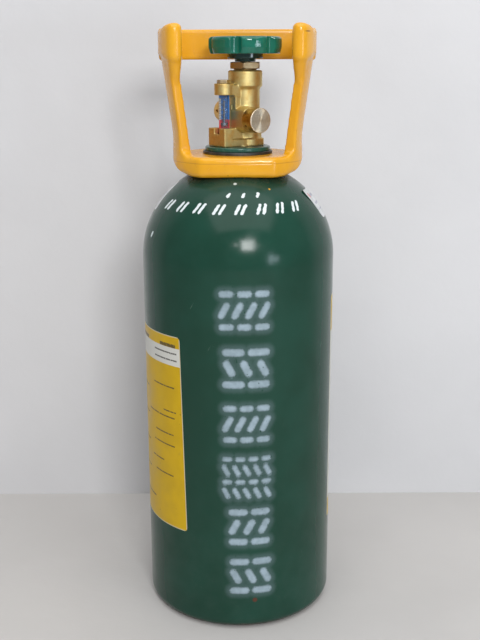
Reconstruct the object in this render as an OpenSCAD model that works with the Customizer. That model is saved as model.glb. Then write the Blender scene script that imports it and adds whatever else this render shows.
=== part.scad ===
// Carbon dioxide gas cylinder with a moulded carrying guard and a brass key valve.
// Millimetres, +Z up. The origin is on the cylinder's axis at the floor, and -Y is the front.

/* [Cylinder] */
// Outside diameter of the steel wall
body_d = 165; // [130:1:210]
// Height of the straight wall's top edge, where the shoulder begins
wall_top = 318; // [240:1:420]
// Thickness of the steel wall
wall_t = 5; // [4:0.5:7]
// Radius of the shoulder's curve
shoulder_r = 78; // [62:1:82]
// Radius of the rolled corner at the foot
foot_corner_r = 9; // [6:0.5:14]
// Rise of the hollow under the foot
foot_hollow = 14; // [8:1:20]
// Width of the flat ring that the cylinder stands on
foot_ring_w = 8; // [5:1:14]

/* [Neck] */
// Diameter of the threaded neck
neck_d = 42; // [38:1:50]
// Diameter of the step that the guard sits on
neck_step_d = 52; // [50:1:60]
// Height of that step above the top of the straight wall
neck_step_up = 78; // [76:1:84]
// Thickness of the guard's collar above the step
collar_grip = 8.3; // [6:0.1:12]
// Diameter and thickness of the washer on the collar
neck_washer_d = 58.6; // [54:0.2:66]
neck_washer_t = 2.9; // [2:0.1:5]
// Diameter and thickness of the ring nut
ring_nut_d = 55; // [50:0.5:62]
ring_nut_t = 3.6; // [3:0.1:8]

/* [Guard] */
// Radius of the guard at the collar
guard_base_r = 50.7; // [46:0.1:60]
// Outward lean of the guard's sides, in degrees
guard_lean = 8.1; // [4:0.1:11]
// Height of the whole guard above the neck step
guard_h = 113; // [100:1:130]
// Height of the top band at the front posts
band_h = 27; // [20:1:36]
// Outside radius of the top band
band_r = 65; // [60:0.5:80]
// Thickness of the side panels
panel_t = 7.5; // [5:0.5:10]
// Direction of the panels' front and rear edges, in degrees from the front
panel_front = 61; // [56:1:72]
panel_rear = 104; // [96:1:112]
// Thickness and height of the grip at the back
grip_t = 14; // [10:0.5:20]
grip_h = 24.3; // [18:0.1:32]

/* [Valve] */
// Turn of the valve on the neck, in degrees to the right of the front
valve_turn = 35; // [0:1:70]
// Width of the forged block across its flats
block_w = 24.4; // [20:0.2:28]
// Distance from the neck's axis to the spindle's axis
spindle_off = 8; // [6:0.1:9]
// Diameter of the barrel
barrel_d = 24.4; // [22:0.2:28]
// Diameter and height of the machined head
head_d = 28.6; // [26:0.2:34]
head_h = 12.6; // [10:0.2:16]
// Height of the valve body, from the neck to the top of the head
valve_h = 61.6; // [58:0.2:70]
// Width of the gland nut across its flats
gland_af = 24; // [20:0.5:26]
// Lift of the valve plug when it is fully open
plug_lift = 3; // [2:0.1:3.5]

/* [Handwheel] */
// Diameter over the lobes
wheel_d = 61.2; // [50:0.2:64]
// Height of the rim
rim_h = 13.8; // [10:0.2:18]
// Number of lobes
lobes = 6; // [5:1:8]
// Depth of the hollows between the lobes
lobe_depth = 3; // [1.5:0.1:4]

/* [Level gauge] */
// Distance from the neck's axis to the gauge's axis
gauge_off = 13.6; // [13:0.1:15]
// Outside diameter of the clear tube
tube_d = 9.3; // [8:0.1:10.5]
// Wall of the clear tube
tube_wall = 1.2; // [1:0.1:1.4]
// Travel of the indicator rod
gauge_travel = 12; // [6:0.5:14]

/* [Outlet and relief] */
// Height of the outlet's axis above the neck
outlet_up = 22; // [20:0.2:26]
// Diameter of the outlet's thread and of its cap
outlet_d = 15; // [12:0.5:18]
cap_d = 20.3; // [19:0.1:26]
// Distance from the neck's axis to the front of the cap
cap_front = 33.1; // [30:0.1:40]
// Height of the relief plug's axis above the neck
relief_up = 28; // [26:0.2:32]
// Diameter of the relief plug's head
relief_d = 18.2; // [16:0.2:22]

/* [Labels] */
// Thickness of the labels and stickers
label_t = 0.3; // [0.2:0.05:0.5]
// Height of the left label and of its lower edge
label_left_h = 173; // [100:1:220]
label_left_z = 87; // [30:1:110]
// Height of the right label and of its lower edge
label_right_h = 208; // [100:1:220]
label_right_z = 77; // [30:1:110]

/* [Fits] */
// Clearance of threads and turning fits, on the radius
fit = 0.08; // [0.05:0.01:0.1]
// Clearance between the guard and the painted shoulder
paint_gap = 0.25; // [0.2:0.05:0.4]
// Thickness of the paste under the labels
paste_t = 0.04; // [0.02:0.01:0.1]

/* [Hidden] */
$fn = 96;
eps = 0.01;
far = 200;

// Cylinder and neck, as radii and heights
body_r = body_d / 2;
shoulder_cx = body_r - shoulder_r;
neck_r = neck_d / 2;
neck_step_r = neck_step_d / 2;
step_z = wall_top + neck_step_up;
collar_top = step_z + collar_grip;
ring_nut_z = collar_top + neck_washer_t;
neck_top = ring_nut_z + ring_nut_t + 0.2;
inlet_r = 13;
inlet_depth = 26;
floor_t = wall_t + 2;

// Guard
seam_z = step_z + 3;
guard_top = step_z + guard_h;
band_z = guard_top - band_h;
band_top = guard_top - 3.2;
grip_z = band_top - grip_h;
grip_front = 38;
grip_back = grip_front + grip_t;
post_r = 5.5;
post_az = panel_front - 3.5;
collar_bottom = step_z - 8;
collar_corner_r = 17;
collar_edge_r = 4;
collar_bow_r = 300;
collar_front = 43;
band_t = 9;
fillet_r = 8;

// Valve, measured from the neck's top
valve_top = neck_top + valve_h;
head_z = valve_top - head_h;
flange_h = 5.8;
flange_r = 14;
gauge_block_h = 15;
gauge_block_w = 8.1;
block_left = 21.5;
block_right = 21.5;
chamber_r = 6.5;
seat_z = neck_top + 13;
seat_r = 2.5;
plug_len = 26.5;
plug_z = seat_z + 0.3;
gland_bore_r = 8.5;
gland_depth = 8;
packing_t = 2.5;
spindle_r = 4.5;
spindle_flange_r = 7.5;
spindle_flange_t = 3;
tang_t = 2.6;
slot_t = 3;

// Gland nut and wheel stack
gland_z = valve_top + 1.2;
gland_h = 5.5;
gland_top = gland_z + gland_h;
wheel_z = gland_top + 0.2;
hub_low_h = 2.5;
hub_low_r = 8.8;
hub_mid_h = 3.9;
hub_mid_r = 15;
rim_z = wheel_z + hub_low_h + hub_mid_h;
wheel_top = rim_z + rim_h;
wheel_r = wheel_d / 2;
wheel_dish_r = 19;
wheel_dish = 7;
square_w = 6.4;
nut_seat_z = wheel_top - wheel_dish;
wheel_clock = -15;

// Gauge
tube_r = tube_d / 2;
tube_bore_r = tube_r - tube_wall;
block_top = neck_top + gauge_block_h;
gauge_seat_z = neck_top + 9;
seal_t = 1.2;
tube_z = gauge_seat_z + seal_t;
boss_r = 8;
boss_z = neck_top + 41.9;
boss_top = boss_z + 9.2;
tube_top = boss_z + 3.4;
plug_seat_z = tube_top + seal_t;
head_of_rod_t = 2;
rod_z = tube_z + 7;
rod_r = 0.9;
spring_z = rod_z + head_of_rod_t;
spring_top = tube_top - 0.5;

// Outlet and relief
outlet_z = neck_top + outlet_up;
relief_z = neck_top + relief_up;
outlet_r = outlet_d / 2;
cap_r = cap_d / 2;
outlet_boss_r = cap_r + 0.25;
cap_face_t = 1.7;
gasket_t = 1.3;
nipple_end = cap_front - cap_face_t - gasket_t;
outlet_boss_end = nipple_end - 10;
relief_boss_end = 14.5;
relief_head_l = 8.3;
relief_thread_r = 6;
relief_seat = 7;

function arc(cx, cz, r, from, to, steps) =
    [for (i = [0:steps]) let (a = from + (to - from) * i / steps) [cx + r * cos(a), cz + r * sin(a)]];
function shoulder_angle_at(x, r) = acos((x - shoulder_cx) / r);
function guard_r(z) = guard_base_r + (z - seam_z) * tan(guard_lean);

// Moves a piece into the valve's own directions: +X to the spindle side, -Y to the outlet
module on_valve() {
    rotate([0, 0, valve_turn]) children();
}

// A cylinder along -Y, from one distance to another
module along_outlet(from, to, r, z) {
    translate([0, -from, z]) rotate([90, 0, 0]) cylinder(h = to - from, r = r);
}

// A cylinder along +Y, from one distance to another
module along_relief(from, to, r, z) {
    translate([0, from, z]) rotate([-90, 0, 0]) cylinder(h = to - from, r = r);
}

// A solid sector seen from above, between two directions measured from the front
module sector(from, to, z, h) {
    steps = 6;
    translate([0, 0, z]) linear_extrude(height = h)
        polygon(concat([[0, 0]], [for (i = [0:steps]) let (a = from + (to - from) * i / steps)
            [far * sin(a), -far * cos(a)]]));
}

module on_both_sides() {
    children();
    mirror([1, 0, 0]) children();
}

// Seamless steel shell with its shoulder, threaded neck and hollow foot
module cylinder_body() {
    inner_r = shoulder_r - wall_t;
    foot_r = body_r - foot_corner_r;
    hollow_w = foot_r - foot_ring_w;
    hollow_r = (hollow_w * hollow_w + foot_hollow * foot_hollow) / (2 * foot_hollow);
    hollow_a = asin(hollow_w / hollow_r);
    inside_corner = 18;
    floor_r = hollow_r + floor_t;
    floor_edge = body_r - wall_t - inside_corner;
    floor_a = asin(floor_edge / floor_r);
    floor_edge_z = foot_hollow - hollow_r + floor_r * cos(floor_a);
    top_a = shoulder_angle_at(neck_step_r, shoulder_r);
    in_a = shoulder_angle_at(inlet_r, inner_r);
    color("#1f4f40") difference() {
        rotate_extrude() polygon(concat(
            [for (p = arc(0, foot_hollow - hollow_r, hollow_r, 90, 90 - hollow_a, 8)) p],
            [[foot_r, 0]],
            arc(foot_r, foot_corner_r, foot_corner_r, -90, 0, 6),
            arc(shoulder_cx, wall_top, shoulder_r, 0, top_a, 16),
            [[neck_step_r, step_z], [neck_r, step_z], [neck_r, neck_top], [0, neck_top]]
        ));
        rotate_extrude() polygon(concat(
            arc(0, foot_hollow - hollow_r, floor_r, 90, 90 - floor_a, 8),
            arc(floor_edge, floor_edge_z + inside_corner, inside_corner, -80, 0, 5),
            arc(shoulder_cx, wall_top, inner_r, 0, in_a, 16),
            [[0, wall_top + inner_r * sin(in_a)]]
        ));
        translate([0, 0, wall_top]) cylinder(h = far, r = inlet_r);
    }
}

// One-piece moulded guard: collar on the neck, two leaning panels, a top band and a grip
module handle_guard() {
    dome_a = shoulder_angle_at(neck_step_r - 3, shoulder_r + paint_gap);
    color("#e8a420") difference() {
        union() {
            collar();
            on_both_sides() {
                intersection() {
                    guard_shell(collar_top - 2, band_z + 3, 0);
                    sector(panel_front, panel_rear, 0, far * 4);
                }
                panel_fillet(panel_front, -1, collar_top, 1);
                panel_fillet(panel_rear, 1, collar_top, 1);
                panel_fillet(panel_rear, 1, band_z, -1);
                intersection() {
                    top_band();
                    sector(post_az, 92, band_z - 5, far);
                }
                rotate([0, 0, post_az]) translate([0, post_r + 0.3 - band_r, 0]) post();
            }
            back_band();
        }
        translate([0, 0, step_z - 30]) cylinder(h = 60, r = neck_r + 0.5);
        translate([0, 0, step_z - 30]) cylinder(h = 30, r = neck_step_r + 0.5);
        rotate_extrude() polygon(concat([[0, wall_top]],
            arc(shoulder_cx, wall_top, shoulder_r + paint_gap, 0, dome_a, 12), [[0, step_z - 1]]));
    }
}

// Collar: bowed front and back, round sides, large lower corners and eased lower edges
module collar() {
    r = guard_r(collar_top) - 0.1;
    h = collar_top - collar_bottom;
    intersection() {
        translate([0, 0, collar_bottom]) intersection() {
            cylinder(h = h, r = r);
            for (side = [-1, 1]) bow(side, h);
        }
        rotate([90, 0, 0]) translate([0, 0, -far / 2]) linear_extrude(height = far)
            collar_section(r + 0.5, collar_corner_r);
        rotate([90, 0, 90]) translate([0, 0, -far / 2]) linear_extrude(height = far)
            collar_section(collar_front + 0.5, collar_edge_r);
    }
}

// Upright section through the collar, with rounded lower corners
module collar_section(half, corner) {
    for (side = [-1, 1]) translate([side * (half - corner), collar_bottom + corner]) circle(r = corner);
    translate([corner - half, collar_bottom]) square([2 * (half - corner), 2 * corner]);
    translate([-half, collar_bottom + corner]) square([2 * half, collar_top]);
}

// Space in front of (or behind) the collar's middle, up to its bowed face
module bow(side, h) {
    intersection() {
        translate([0, side * (collar_bow_r - collar_front), 0]) cylinder(h = h, r = collar_bow_r);
        translate([-far / 2, side > 0 ? -far : 0, 0]) cube([far, far, h]);
    }
}

// Leaning shell between two heights, thinner than the panels by twice the inset
module guard_shell(z0, z1, inset) {
    out0 = guard_r(z0) - inset;
    out1 = guard_r(z1) - inset;
    t = panel_t - 2 * inset;
    rotate_extrude() polygon([[out0 - t, z0], [out0, z0], [out1, z1], [out1 - t, z1]]);
}

// Upright band round the top, with a sloped under edge and eased corners
module top_band() {
    ease = 2.5;
    inner = band_r - band_t;
    rotate_extrude() polygon([
        [inner, band_z], [band_r - 4, band_z], [band_r, band_z + 4], [band_r, band_top - ease],
        [band_r - ease, band_top], [inner + ease, band_top], [inner, band_top - ease]
    ]);
}

// The band's two sides behind the middle, and the straight grip between them
module back_band() {
    side_x = band_r - 0.3;
    corner = 14;
    inner_x = band_r - band_t - 1;
    translate([0, 0, grip_z]) linear_extrude(height = grip_h) difference() {
        union() {
            translate([-side_x, -1]) square([2 * side_x, grip_back - corner + 1]);
            translate([corner - side_x, 0]) square([2 * (side_x - corner), grip_back]);
            for (side = [-1, 1]) translate([side * (side_x - corner), grip_back - corner]) circle(r = corner);
        }
        translate([-inner_x, -2]) square([2 * inner_x, grip_front - 6 + 2]);
        translate([6 - inner_x, 0]) square([2 * (inner_x - 6), grip_front]);
        for (side = [-1, 1]) translate([side * (inner_x - 6), grip_front - 6]) circle(r = 6);
    }
}

// Rounded post at each front end of the band
module post() {
    ease = 2;
    translate([0, 0, band_z - 2]) cylinder(h = 2.5, r1 = post_r - ease, r2 = post_r);
    translate([0, 0, band_z]) cylinder(h = band_h - ease, r = post_r);
    translate([0, 0, guard_top - ease]) cylinder(h = ease, r1 = post_r, r2 = post_r - ease);
}

// Hollow fillet in a window's corner: edge is the panel's edge, away is the side of the gap,
// z is the level face, and up says whether the fillet stands on that face or hangs from it
module panel_fillet(edge, away, z, up) {
    span = fillet_r / guard_r(z) * 180 / PI;
    low = up > 0 ? z - 1 : z - fillet_r;
    difference() {
        intersection() {
            guard_shell(low, low + fillet_r + 1, 0.3);
            sector(min(edge - away, edge + away * span), max(edge - away, edge + away * span), low, far);
        }
        rotate([0, 0, edge + away * span]) translate([0, 0, z + up * fillet_r])
            rotate([90, 0, 0]) cylinder(h = far, r = fillet_r);
    }
}

module neck_washer() {
    color("#2b2b2b") translate([0, 0, collar_top]) difference() {
        cylinder(h = neck_washer_t, d = neck_washer_d);
        translate([0, 0, -1]) cylinder(h = neck_washer_t + 2, r = neck_r + fit);
    }
}

module neck_ring_nut() {
    chamfer = 0.6;
    color("#2c6a58") translate([0, 0, ring_nut_z]) difference() {
        union() {
            cylinder(h = ring_nut_t - chamfer, d = ring_nut_d);
            translate([0, 0, ring_nut_t - chamfer])
                cylinder(h = chamfer, d1 = ring_nut_d, d2 = ring_nut_d - 2 * chamfer);
        }
        translate([0, 0, -1]) cylinder(h = ring_nut_t + 2, r = neck_r + fit);
    }
}

// Outside of the forging: base, gauge block, web, barrel, head, gauge boss and side bosses
module valve_outside() {
    half_w = block_w / 2;
    inner_w = half_w - 3.4;
    web_left = gauge_off - tube_r - 2.2;
    translate([0, 0, neck_top]) linear_extrude(height = flange_h)
        base_outline(half_w);
    translate([0, 0, neck_top]) linear_extrude(height = outlet_up - 3)
        base_outline(inner_w);
    translate([-block_left, -half_w, neck_top]) cube([gauge_block_w, block_w, gauge_block_h]);
    translate([-block_left + gauge_block_w - 1, -inner_w, neck_top])
        cube([block_left - gauge_block_w, 2 * inner_w, gauge_block_h]);
    translate([spindle_off, 0, neck_top]) cylinder(h = flange_h, r = flange_r);
    translate([-web_left, -half_w * 0.58, neck_top])
        cube([web_left + spindle_off, block_w * 0.58, boss_top - neck_top - 2]);
    hull() {
        translate([-gauge_off, 0, boss_z + 1]) cylinder(h = 7, r = boss_r - 0.6, $fn = 32);
        translate([spindle_off, 0, boss_z - 4]) cylinder(h = 12, r = boss_r - 0.4, $fn = 32);
    }
    translate([-gauge_off, 0, boss_z]) cylinder(h = boss_top - boss_z, r = boss_r);
    translate([spindle_off, 0, neck_top]) cylinder(h = valve_h - 1, d = barrel_d);
    translate([spindle_off, 0, head_z - 3])
        cylinder(h = 3, d1 = barrel_d - 0.5, d2 = head_d);
    translate([spindle_off, 0, head_z]) cylinder(h = head_h - 1, d = head_d);
    translate([spindle_off, 0, valve_top - 1]) cylinder(h = 1, d1 = head_d, d2 = head_d - 2);
    along_outlet(-2, outlet_boss_end, outlet_boss_r, outlet_z);
    along_outlet(0, nipple_end, outlet_r - fit, outlet_z);
    along_relief(-2, relief_boss_end, relief_d / 2 + 0.4, relief_z);
    translate([0, 0, neck_top - inlet_depth + 1]) cylinder(h = inlet_depth, r = inlet_r - fit);
}

// The base seen from above: square to the left, with round corners to the right
module base_outline(w) {
    corner = 6;
    translate([-block_left + gauge_block_w, -w]) square([block_left + 4, 2 * w]);
    for (side = [-1, 1]) translate([block_right - corner, side * (w - corner)]) circle(r = corner);
    translate([0, -w]) square([block_right - corner, 2 * w]);
    translate([0, corner - w]) square([block_right, 2 * (w - corner)]);
}

// Drillings and turned seats inside the forging
module valve_inside() {
    link = 1.5;
    translate([0, 0, neck_top - inlet_depth]) cylinder(h = inlet_depth + 6, r = 4);
    translate([0, 0, neck_top + 4]) rotate([0, 90, 0]) cylinder(h = spindle_off, r = seat_r);
    translate([0, 0, neck_top + 4]) rotate([0, -90, 0]) cylinder(h = gauge_off, r = 1.2);
    translate([spindle_off, 0, neck_top + 4]) cylinder(h = far, r = seat_r);
    translate([spindle_off, 0, seat_z]) cylinder(h = far, r = chamber_r);
    translate([spindle_off, 0, valve_top - gland_depth - packing_t])
        cylinder(h = far, r = gland_bore_r);
    translate([-gauge_off, 0, neck_top + 4]) cylinder(h = far, r = 1.2);
    translate([-gauge_off, 0, gauge_seat_z]) cylinder(h = far, r = tube_r + 2 * fit);
    translate([-block_left - 1, -3.6, gauge_seat_z + 1]) cube([block_left - gauge_off + 1, 7.2, far]);
    along_outlet(-1, nipple_end + 1, 3.5, outlet_z);
    along_relief(relief_seat, relief_boss_end + 1, relief_thread_r + fit, relief_z);
    along_relief(4, relief_seat + 1, 2, relief_z);
    translate([0, 5, neck_top - 12]) cylinder(h = relief_z - neck_top + 12, r = link);
}

module valve_body() {
    window_h = boss_z - block_top;
    color("#b8923f") on_valve() difference() {
        valve_outside();
        difference() {
            valve_inside();
            translate([-block_left - 1, -block_w, boss_top + eps])
                cube([block_left, 2 * block_w, far]);
            translate([-gauge_off, 0, boss_z]) difference() {
                cylinder(h = boss_top - boss_z, r = boss_r);
                translate([0, 0, -1]) cylinder(h = far, r = tube_r + 2 * fit);
            }
        }
        translate([-block_left - 5, -block_w, block_top])
            cube([block_left + 5 - gauge_off + tube_r + 1.2, 2 * block_w, window_h]);
    }
}

// Hexagon nut that holds the packing down in the head
module gland_nut() {
    corner_r = gland_af / 2 / cos(30);
    color("#a98a52") on_valve() translate([spindle_off, 0, 0]) difference() {
        union() {
            intersection() {
                translate([0, 0, gland_z]) rotate([0, 0, -10]) cylinder(h = gland_h, r = corner_r, $fn = 6);
                hex_ease(corner_r, gland_z, gland_h);
            }
            translate([0, 0, valve_top]) cylinder(h = gland_z - valve_top + eps, r = gland_bore_r + 1);
            translate([0, 0, valve_top - gland_depth])
                cylinder(h = gland_depth + eps, r = gland_bore_r - fit);
        }
        cylinder(h = far * 4, r = spindle_r + fit);
    }
}

// Barrel shape that takes the points off a hexagon at both ends
module hex_ease(corner_r, z, h) {
    ease = 1.1;
    translate([0, 0, z]) cylinder(h = ease, r1 = corner_r - 1.4, r2 = corner_r + 0.1);
    translate([0, 0, z + ease]) cylinder(h = h - 2 * ease, r = corner_r + 0.1);
    translate([0, 0, z + h - ease]) cylinder(h = ease, r1 = corner_r + 0.1, r2 = corner_r - 1.4);
}

module gland_packing() {
    color("#e9e6dc") on_valve()
        translate([spindle_off, 0, valve_top - gland_depth - packing_t]) difference() {
            cylinder(h = packing_t, r = gland_bore_r - fit);
            translate([0, 0, -1]) cylinder(h = packing_t + 2, r = spindle_r + fit);
        }
}

// Upper spindle: tang below, flange under the packing, square and thread for the wheel above
module spindle() {
    flange_z = valve_top - gland_depth - packing_t - spindle_flange_t - 0.2;
    tang_z = plug_z + plug_len - 5.5;
    color("#c0a060") on_valve() translate([spindle_off, 0, 0]) {
        translate([-chamber_r + 0.9, -tang_t / 2, tang_z])
            cube([2 * chamber_r - 1.8, tang_t, flange_z - tang_z + eps]);
        translate([0, 0, flange_z]) cylinder(h = spindle_flange_t, r = chamber_r - fit);
        translate([0, 0, flange_z]) cylinder(h = wheel_z - flange_z, r = spindle_r);
        translate([-square_w / 2, -square_w / 2, wheel_z - 1])
            cube([square_w, square_w, nut_seat_z - wheel_z + 0.6]);
        translate([0, 0, nut_seat_z - 1]) cylinder(h = 6.4, r = 3);
    }
}

// Threaded lower plug with a slot for the tang and a pocket for the seat
module valve_plug() {
    slot_depth = 9.2;
    color("#b99a4a") on_valve() translate([spindle_off, 0, plug_z]) difference() {
        union() {
            translate([0, 0, 1]) cylinder(h = plug_len - 1, r = chamber_r - fit);
            cylinder(h = 1, r = chamber_r - 1);
        }
        translate([0, 0, -1]) cylinder(h = 3.5, r = 4);
        translate([-far, -slot_t / 2, plug_len - slot_depth]) cube([2 * far, slot_t, far]);
    }
}

module seat_insert() {
    color("#f0ede2") on_valve() translate([spindle_off, 0, seat_z + 0.05])
        cylinder(h = 2.7, r = 4 - 0.02);
}

// Cast wheel with a lobed rim, a dished top and a stepped hub with a square hole
module handwheel() {
    hollow_r = 6;
    hollow_at = wheel_r - lobe_depth + hollow_r;
    ease = 3;
    rim_t = 9;
    color("#1a7a5c") on_valve() translate([spindle_off, 0, 0])
        rotate([0, 0, wheel_clock - valve_turn]) difference() {
            union() {
                rotate_extrude() polygon(concat(
                    [[0, rim_z], [wheel_r - 1.4, rim_z], [wheel_r, rim_z + 5]],
                    arc(wheel_r - ease, wheel_top - ease, ease, 0, 90, 5),
                    [[0, wheel_top]]
                ));
                translate([0, 0, wheel_z + hub_low_h]) cylinder(h = hub_mid_h + 1, r = hub_mid_r);
                translate([0, 0, wheel_z]) cylinder(h = hub_low_h + 1, r = hub_low_r);
            }
            for (i = [0:lobes - 1]) rotate([0, 0, i * 360 / lobes])
                translate([0, -hollow_at, wheel_z - 1]) cylinder(h = far, r = hollow_r);
            translate([0, 0, nut_seat_z]) cylinder(h = far, r1 = wheel_dish_r, r2 = wheel_dish_r + far / 3);
            translate([0, 0, rim_z - eps]) difference() {
                cylinder(h = 3, r = wheel_r - rim_t);
                translate([0, 0, -1]) cylinder(h = 5, r = hub_mid_r);
            }
            square_hole();
        }
}

module square_hole() {
    w = square_w + 4 * fit;
    rotate([0, 0, valve_turn - wheel_clock]) translate([-w / 2, -w / 2, wheel_z - 1]) cube([w, w, far]);
}

module wheel_washer() {
    color("#9a9a94") on_valve() translate([spindle_off, 0, nut_seat_z]) difference() {
        cylinder(h = 1, r = 7);
        translate([0, 0, -1]) cylinder(h = 3, r = 3 + fit);
    }
}

module wheel_nut() {
    color("#b0b0a8") on_valve() translate([spindle_off, 0, nut_seat_z + 1]) difference() {
        cylinder(h = 4, r = 10 / 2 / cos(30), $fn = 6);
        translate([0, 0, -1]) cylinder(h = 6, r = 3 + fit);
    }
}

// Clear tube of the indicator
module gauge_tube() {
    color("#cfe4ee", 0.4) on_valve() translate([-gauge_off, 0, tube_z]) difference() {
        cylinder(h = tube_top - tube_z, r = tube_r);
        translate([0, 0, -1]) cylinder(h = far, r = tube_bore_r);
    }
}

// Printed sleeve at the back of the tube, open to the front
module gauge_scale() {
    sleeve_t = 0.4;
    open_half = 55;
    color("#2a6fd0") on_valve() translate([-gauge_off, 0, 0]) rotate([0, 0, -valve_turn]) difference() {
        translate([0, 0, tube_z + eps]) cylinder(h = tube_top - tube_z - 0.4, r = tube_bore_r - 0.03);
        cylinder(h = far * 4, r = tube_bore_r - sleeve_t);
        sector(-open_half, open_half, 0, far * 4);
    }
}

// Indicator rod with its round head below
module gauge_plunger() {
    color("#8e8e92") on_valve() translate([-gauge_off, 0, 0]) {
        translate([0, 0, rod_z]) cylinder(h = head_of_rod_t, r = tube_bore_r - 0.6);
        translate([0, 0, rod_z]) cylinder(h = tube_top - rod_z - gauge_travel + 4, r = rod_r);
    }
}

// Envelope of the coil spring above the rod's head
module gauge_spring() {
    color("#c8c8cc") on_valve() translate([-gauge_off, 0, spring_z]) difference() {
        cylinder(h = spring_top - spring_z, r = tube_bore_r - 0.8);
        translate([0, 0, -1]) cylinder(h = far, r = rod_r + 0.4);
    }
}

// Hexagon plug on top of the gauge, hollow for the rod's travel
module gauge_plug() {
    plug_af = 10.3;
    color("#a99460") on_valve() translate([-gauge_off, 0, 0]) difference() {
        union() {
            translate([0, 0, plug_seat_z]) cylinder(h = boss_top - plug_seat_z + eps, r = tube_r);
            translate([0, 0, boss_top]) rotate([0, 0, 20])
                cylinder(h = 3, r = plug_af / 2 / cos(30), $fn = 6);
        }
        translate([0, 0, plug_seat_z - 1]) cylinder(h = boss_top - plug_seat_z + 2, r = rod_r + 0.5);
    }
}

module gauge_seals() {
    color("#1c1c1c") on_valve() for (z = [gauge_seat_z, tube_top]) translate([-gauge_off, 0, z])
        difference() {
            cylinder(h = seal_t, r = tube_r - fit);
            translate([0, 0, -1]) cylinder(h = seal_t + 2, r = tube_bore_r + 0.1);
        }
}

// Turned blank cap with a bleed hole in its skirt
module outlet_cap() {
    skirt_end = outlet_boss_end + 0.4;
    color("#8f8468") on_valve() difference() {
        union() {
            along_outlet(skirt_end, cap_front - 0.6, cap_r, outlet_z);
            translate([0, -cap_front + 0.6, outlet_z]) rotate([90, 0, 0])
                cylinder(h = 0.6, r1 = cap_r, r2 = cap_r - 0.6);
        }
        along_outlet(skirt_end - 1, cap_front - cap_face_t, outlet_r, outlet_z);
        translate([0, -skirt_end - 4, outlet_z]) rotate([0, -130, 0]) cylinder(h = far, r = 0.8);
    }
}

module outlet_gasket() {
    color("#d8d4c4") on_valve() along_outlet(nipple_end, cap_front - cap_face_t, outlet_r - 0.1, outlet_z);
}

// Relief plug with an axial hole and two cross vents
module relief_plug() {
    head_at = relief_boss_end + 0.1;
    color("#a8803a") on_valve() difference() {
        union() {
            along_relief(relief_seat + 1.6, head_at + eps, relief_thread_r, relief_z);
            along_relief(head_at, head_at + relief_head_l - 0.6, relief_d / 2, relief_z);
            translate([0, head_at + relief_head_l - 0.6, relief_z]) rotate([-90, 0, 0])
                cylinder(h = 0.6, r1 = relief_d / 2, r2 = relief_d / 2 - 0.6);
        }
        along_relief(relief_seat, head_at + 5, 2, relief_z);
        for (a = [0, 90]) translate([0, head_at + 3, relief_z]) rotate([0, a, 0])
            cylinder(h = far, r = 1.2, center = true);
    }
}

module relief_washer() {
    color("#b87333") on_valve() difference() {
        along_relief(relief_seat + 0.3, relief_seat + 1.6, relief_thread_r - 0.05, relief_z);
        along_relief(relief_seat - 1, relief_seat + 3, 2.6, relief_z);
    }
}

module rupture_disc() {
    color("#c9b37a") on_valve()
        along_relief(relief_seat, relief_seat + 0.3, relief_thread_r - 0.05, relief_z);
}

// A label that lies round the straight wall, between two directions from the front
module wall_label(from, to, z, h) {
    intersection() {
        translate([0, 0, z]) difference() {
            cylinder(h = h, r = body_r + paste_t + label_t);
            translate([0, 0, -1]) cylinder(h = h + 2, r = body_r + paste_t);
        }
        sector(from, to, 0, far * 4);
    }
}

module label_left() {
    color("#e0b010") wall_label(-138, -35.5, label_left_z, label_left_h);
}

module label_right() {
    color("#e0b010") wall_label(75.5, 140, label_right_z, label_right_h);
}

// A sticker on the curve of the shoulder, between two slopes and two directions
module shoulder_sticker(low, high, from, to) {
    intersection() {
        rotate_extrude() polygon(concat(
            arc(shoulder_cx, wall_top, shoulder_r + 2 * paste_t, low, high, 6),
            arc(shoulder_cx, wall_top, shoulder_r + 2 * paste_t + label_t, high, low, 6)
        ));
        sector(from, to, 0, far * 4);
    }
}

module sticker_left() {
    color("#f2f2ee") shoulder_sticker(31, 54, -128, -80);
}

module sticker_right() {
    color("#f2f2ee") shoulder_sticker(26, 47, 66, 112);
}

cylinder_body();
handle_guard();
neck_washer();
neck_ring_nut();
valve_body();
gland_nut();
gland_packing();
spindle();
valve_plug();
seat_insert();
handwheel();
wheel_washer();
wheel_nut();
gauge_tube();
gauge_scale();
gauge_plunger();
gauge_spring();
gauge_plug();
gauge_seals();
outlet_cap();
outlet_gasket();
relief_plug();
rupture_disc();
relief_washer();
label_left();
label_right();
sticker_left();
sticker_right();
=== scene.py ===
import bmesh
import bpy
import math
from mathutils import Matrix, Vector


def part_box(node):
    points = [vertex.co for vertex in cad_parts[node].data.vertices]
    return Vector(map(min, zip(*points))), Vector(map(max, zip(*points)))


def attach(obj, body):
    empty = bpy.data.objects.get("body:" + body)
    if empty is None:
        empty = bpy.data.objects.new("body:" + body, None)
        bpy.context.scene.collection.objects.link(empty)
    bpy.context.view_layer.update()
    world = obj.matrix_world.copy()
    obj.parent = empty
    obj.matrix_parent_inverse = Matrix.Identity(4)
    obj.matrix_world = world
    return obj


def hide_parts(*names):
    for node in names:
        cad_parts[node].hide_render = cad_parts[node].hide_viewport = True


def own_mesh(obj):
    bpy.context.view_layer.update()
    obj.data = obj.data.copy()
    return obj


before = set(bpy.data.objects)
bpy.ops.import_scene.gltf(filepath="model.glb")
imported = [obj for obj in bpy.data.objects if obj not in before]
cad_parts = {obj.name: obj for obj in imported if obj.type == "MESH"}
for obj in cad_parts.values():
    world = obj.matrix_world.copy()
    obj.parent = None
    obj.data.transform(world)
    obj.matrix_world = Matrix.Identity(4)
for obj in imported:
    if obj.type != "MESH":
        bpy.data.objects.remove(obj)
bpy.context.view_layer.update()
scene = bpy.context.scene

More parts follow.
